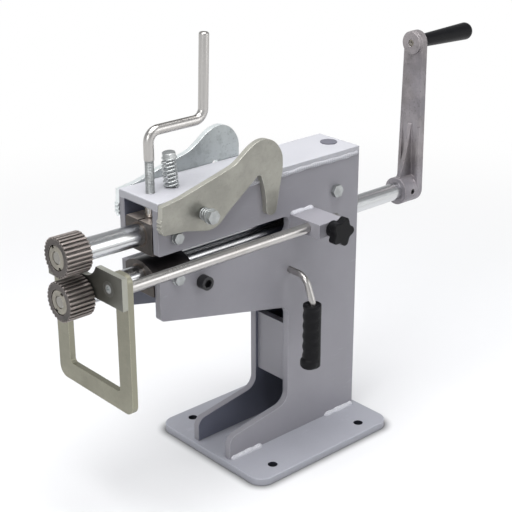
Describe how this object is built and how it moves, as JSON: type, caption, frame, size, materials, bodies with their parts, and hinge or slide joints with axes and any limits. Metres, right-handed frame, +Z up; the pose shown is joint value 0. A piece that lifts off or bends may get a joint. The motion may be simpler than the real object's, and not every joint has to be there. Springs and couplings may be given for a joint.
{
  "type": "sheet metal crimper",
  "caption": "Hand-cranked bench crimper for sheet metal edges: geared toothed rolls on overhung shafts in a welded plate frame, with adjusting screw and sliding gauge.",
  "frame": {"origin": "centre of the bench bolt pattern on the underside of the base plate", "axes": "+X along the shafts from the rolls to the crank, +Z up, -Y towards the gauge rod and lock lever"},
  "size_m": [0.7282, 0.2215, 0.5866],
  "materials": {
    "frame_paint": "satin grey paint",
    "zinc_plate": "zinc plated",
    "bright_steel": "turned and polished",
    "roll_steel": "hardened, oiled",
    "block_steel": "machined, dark",
    "fastener_zinc": "zinc plated",
    "black_oxide": "black oxide",
    "cast_metal": "cast, rough",
    "bush_bronze": "bored",
    "black_plastic": "moulded black"
  },
  "bodies": {
    "frame": {"base_plate": "frame_paint", "side_plate_near": "frame_paint", "side_plate_far": "frame_paint", "top_plate": "frame_paint", "back_plate": "frame_paint", "column_web": "frame_paint", "frame_welds": "frame_paint", "gauge_block": "frame_paint", "column_plug": "black_plastic", "lower_front_block": "block_steel", "lower_rear_block": "block_steel", "lower_front_bush": "bush_bronze", "lower_rear_bush": "bush_bronze", "lower_block_bolts": "fastener_zinc", "arm_cap_screws": "black_oxide", "pivot_bolts": "fastener_zinc", "guard_bolts": "fastener_zinc", "guard_springs": "fastener_zinc"},
    "carrier": {"upper_front_block": "block_steel", "upper_rear_block": "block_steel", "upper_front_bush": "bush_bronze", "upper_rear_bush": "bush_bronze", "guide_bolts": "fastener_zinc", "lift_bolt": "fastener_zinc", "lift_spring": "fastener_zinc"},
    "upper_shaft_set": {"upper_shaft": "bright_steel", "upper_roll": "roll_steel", "upper_roll_nut": "fastener_zinc", "upper_gear": "roll_steel", "upper_keys": "bright_steel"},
    "crank_shaft_set": {"lower_shaft": "bright_steel", "lower_roll": "roll_steel", "lower_roll_nut": "fastener_zinc", "lower_gear": "roll_steel", "lower_keys": "bright_steel", "crank_arm": "cast_metal", "crank_set_screw": "black_oxide", "grip_spindle": "bright_steel"},
    "grip": {"crank_grip": "black_plastic"},
    "screw_foot": {"screw_foot": "bright_steel"},
    "adjusting_screw": {"adjusting_screw": "bright_steel"},
    "gauge": {"gauge_plate": "roll_steel", "gauge_loop": "zinc_plate", "gauge_rod": "bright_steel", "gauge_screws": "fastener_zinc"},
    "gauge_knob": {"gauge_knob": "black_plastic"},
    "lock_lever": {"lock_lever": "fastener_zinc", "lever_grip": "black_plastic"},
    "guard_near": {"guard_arm_near": "zinc_plate"},
    "guard_far": {"guard_arm_far": "zinc_plate"}
  },
  "joints": [
    {"name": "screw_turn", "type": "hinge", "parent": "screw_foot", "child": "adjusting_screw", "pos_m": [-0.207, 0, 0.4], "axis": [0, 0, 1], "range_deg": [-747, 0]},
    {"name": "screw_travel", "type": "slide", "parent": "frame", "child": "screw_foot", "axis": [0, 0, 1], "range_m": [-0.0042, 0]},
    {"name": "upper_tilt", "type": "hinge", "parent": "frame", "child": "carrier", "pos_m": [0.073, 0, 0.3505], "axis": [0, 1, 0], "range_deg": [-0.86, 0], "deforming": ["lift_spring"]},
    {"name": "upper_spin", "type": "hinge", "parent": "carrier", "child": "upper_shaft_set", "pos_m": [0.073, 0, 0.3505], "axis": [0.9999, 0, -0.0148], "continuous": true},
    {"name": "crank_spin", "type": "hinge", "parent": "frame", "child": "crank_shaft_set", "pos_m": [0, 0, 0.3005], "axis": [1, 0, 0], "continuous": true},
    {"name": "grip_spin", "type": "hinge", "parent": "crank_shaft_set", "child": "grip", "pos_m": [0.32, 0, 0.5155], "axis": [1, 0, 0], "continuous": true},
    {"name": "gauge_slide", "type": "slide", "parent": "frame", "child": "gauge", "axis": [1, 0, 0], "range_m": [0, 0.06]},
    {"name": "knob_turn", "type": "hinge", "parent": "frame", "child": "gauge_knob", "pos_m": [0.0125, -0.1, 0.327], "axis": [0, -1, 0], "range_deg": [0, 180]},
    {"name": "lock_lever_swing", "type": "hinge", "parent": "frame", "child": "lock_lever", "pos_m": [-0.0105, 0, 0.259], "axis": [0, 1, 0], "range_deg": [0, 25]},
    {"name": "guard_near_swing", "type": "hinge", "parent": "frame", "child": "guard_near", "pos_m": [-0.163, -0.0423, 0.379], "axis": [0, 1, 0], "range_deg": [0, 25]},
    {"name": "guard_far_swing", "type": "hinge", "parent": "frame", "child": "guard_far", "pos_m": [-0.163, 0.0423, 0.379], "axis": [0, 1, 0], "range_deg": [0, 25]}
  ],
  "couplings": [
    {"joint": "upper_spin", "follows": "crank_spin", "ratio": -1},
    {"joint": "screw_travel", "follows": "screw_turn", "m_per_rad": 0.00031831},
    {"joint": "upper_tilt", "follows": "screw_turn", "ratio": 0.0011368}
  ]
}
